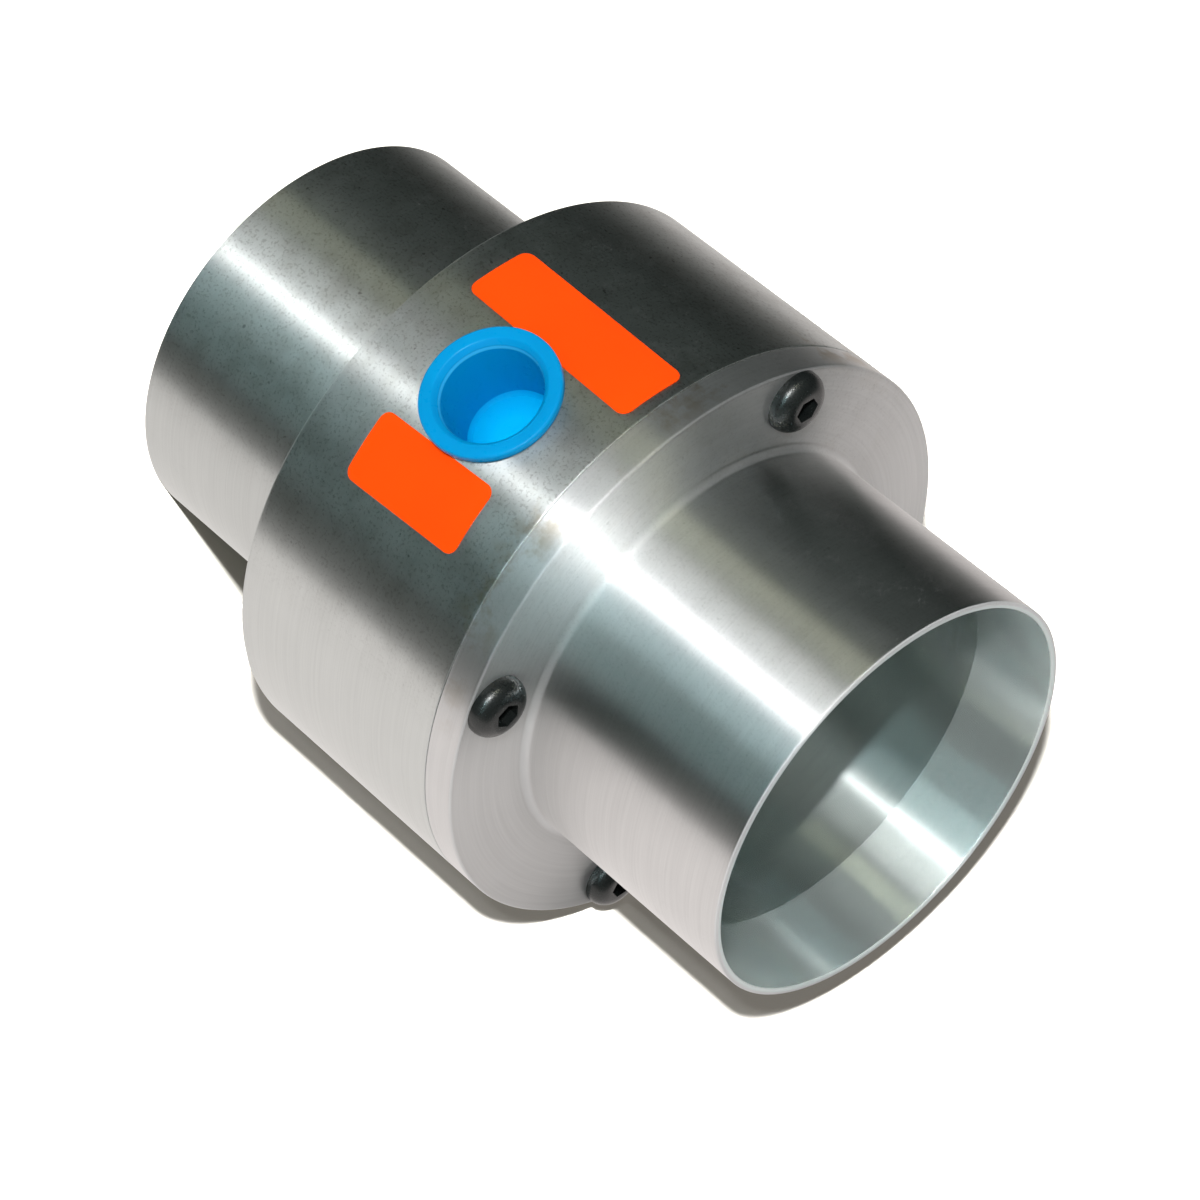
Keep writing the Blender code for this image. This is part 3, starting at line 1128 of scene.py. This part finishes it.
plug_blue = soft_plastic(
    "blue_plug_plastic",
    deep=(0.0, 0.255, 0.55, 1),
    bright=(0.0, 0.28, 0.60, 1),
    cup_wall_painted_shade=(0.0, 0.235, 0.53, 1),
    cup_floor_painted_light=(0.0, 0.475, 0.85, 1),
    cup_edge_painted_shade=(0.0, 0.33, 0.66, 1),
    lip_painted_highlight=(0.04, 0.46, 0.80, 1),
)
finish_piece(plug, plug_blue, "plug", 22)
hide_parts("port_plug")

# %% [markdown]
# ## Orange stickers
#
# Two rounded stickers lie on the drum beside the port, and are left bare here. Each is a flat
# sheet first: a plane with rounded corners, cut into strips, bent to the drum's radius with
# Simple Deform, and given its thickness with Solidify.


# %% Orange film material
def orange_film(name, colour):
    made = new_material(name)
    tree = made.node_tree
    place = node(tree, "TexCoord").outputs["Object"]
    deep = tuple(channel * 0.93 for channel in colour)
    cloud = spread(tree, noise(tree, place, 60), 0.35, 0.65)
    rough, normal = fine_grain(tree, place, 1500, 3.0, (0.55, 0.65), strength=0.2, depth=0.00003)
    shader = node(
        tree,
        "BsdfPrincipled",
        {
            "Base Color": mix_colours(tree, cloud, (*deep, 1), (*colour, 1)),
            "Roughness": rough,
            "Specular IOR Level": 0.08,
            "Normal": normal,
        },
    )
    node(tree, "OutputMaterial", {"Surface": shader.outputs[0]})
    return made


sticker_orange = orange_film("orange_sticker_film", (0.97, 0.070, 0.0))
print("film:", sticker_orange.name)

# %% Cut, wrap and place a sticker
corner_round = 1.8
film_thickness = 0.1
film_inside = drum + 0.03
strip_count = 16


def apply_place(sheet, rotation=(0, 0, 0), location=(0, 0, 0)):
    """Turns and moves a sheet, and writes that into its mesh."""
    sheet.rotation_euler = rotation
    sheet.location = location
    bpy.ops.object.transform_apply(location=True, rotation=True, scale=True)


def flat_sheet(name, length, width):
    """A flat sheet with rounded corners, cut into strips across its width."""
    deselect()
    bpy.ops.mesh.primitive_plane_add(size=1)
    sheet = bpy.context.object
    sheet.name = name
    sheet.data.name = name
    bpy.ops.object.mode_set(mode="EDIT")
    bpy.ops.mesh.select_all(action="SELECT")
    bpy.ops.transform.resize(value=(width * mm, length * mm, 1), center_override=(0, 0, 0))
    bpy.ops.mesh.bevel(offset=corner_round * mm, segments=8, affect="VERTICES")
    for strip in range(1, strip_count):
        cut_at = (strip / strip_count - 0.5) * width * mm
        bpy.ops.mesh.select_all(action="SELECT")
        bpy.ops.mesh.bisect(plane_co=(cut_at, 0, 0), plane_no=(1, 0, 0))
    bpy.ops.object.mode_set(mode="OBJECT")
    return sheet


def sticker(name, length, width, angle, height, lean):
    """A rounded sheet on the drum. Sizes are in millimetres, and angles in degrees."""
    sheet = flat_sheet(name, length, width)
    apply_place(sheet, rotation=(math.radians(90), 0, 0))
    apply_place(sheet, rotation=(0, math.radians(lean), 0))
    across = [v.co.x for v in sheet.data.vertices]
    bend = sheet.modifiers.new("Wrap", "SIMPLE_DEFORM")
    bend.deform_method = "BEND"
    bend.deform_axis = "Z"
    bend.angle = (max(across) - min(across)) / (film_inside * mm)
    bpy.ops.object.modifier_apply(modifier=bend.name)
    film = sheet.modifiers.new("Film", "SOLIDIFY")
    film.thickness = film_thickness * mm
    film.offset = 1
    bpy.ops.object.modifier_apply(modifier=film.name)
    print(name, "box:", [round(value / mm, 2) for value in sheet.dimensions])
    apply_place(sheet, location=(0, -film_inside * mm, height * mm))
    apply_place(sheet, rotation=(0, 0, math.radians(90 + angle)))
    finish_piece(sheet, sticker_orange)


sticker("long_sticker", length=38.1, width=12.7, angle=-18.55, height=71.25, lean=1.4)
sticker("short_sticker", length=25.4, width=12.7, angle=18.99, height=70.39, lean=-1.9)

# %% [markdown]
# ## Rubber seals
#
# The three O-rings keep their CAD shape. They can only be seen when the part is cut open, so a
# plain dark rubber with a fine mould texture is enough.

# %% Rubber for the seals
rubber = new_material("seal_rubber_black")
tree = rubber.node_tree
place = node(tree, "TexCoord").outputs["Object"]
grain = noise(tree, place, 1800, 3.0, 0.6)
tint = mix_colours(tree, grain, (0.015, 0.015, 0.016, 1), (0.035, 0.035, 0.036, 1))
rough = spread(tree, grain, 0.3, 0.7, 0.55, 0.7)
shader = node(tree, "BsdfPrincipled", {"Base Color": tint, "Roughness": rough})
node(tree, "OutputMaterial", {"Surface": shader.outputs[0]})
for name in ("ring_seal_front", "ring_seal_rear", "flange_seal"):
    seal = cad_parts[name]
    seal.data.materials.clear()
    seal.data.materials.append(rubber)
print("seals dressed")
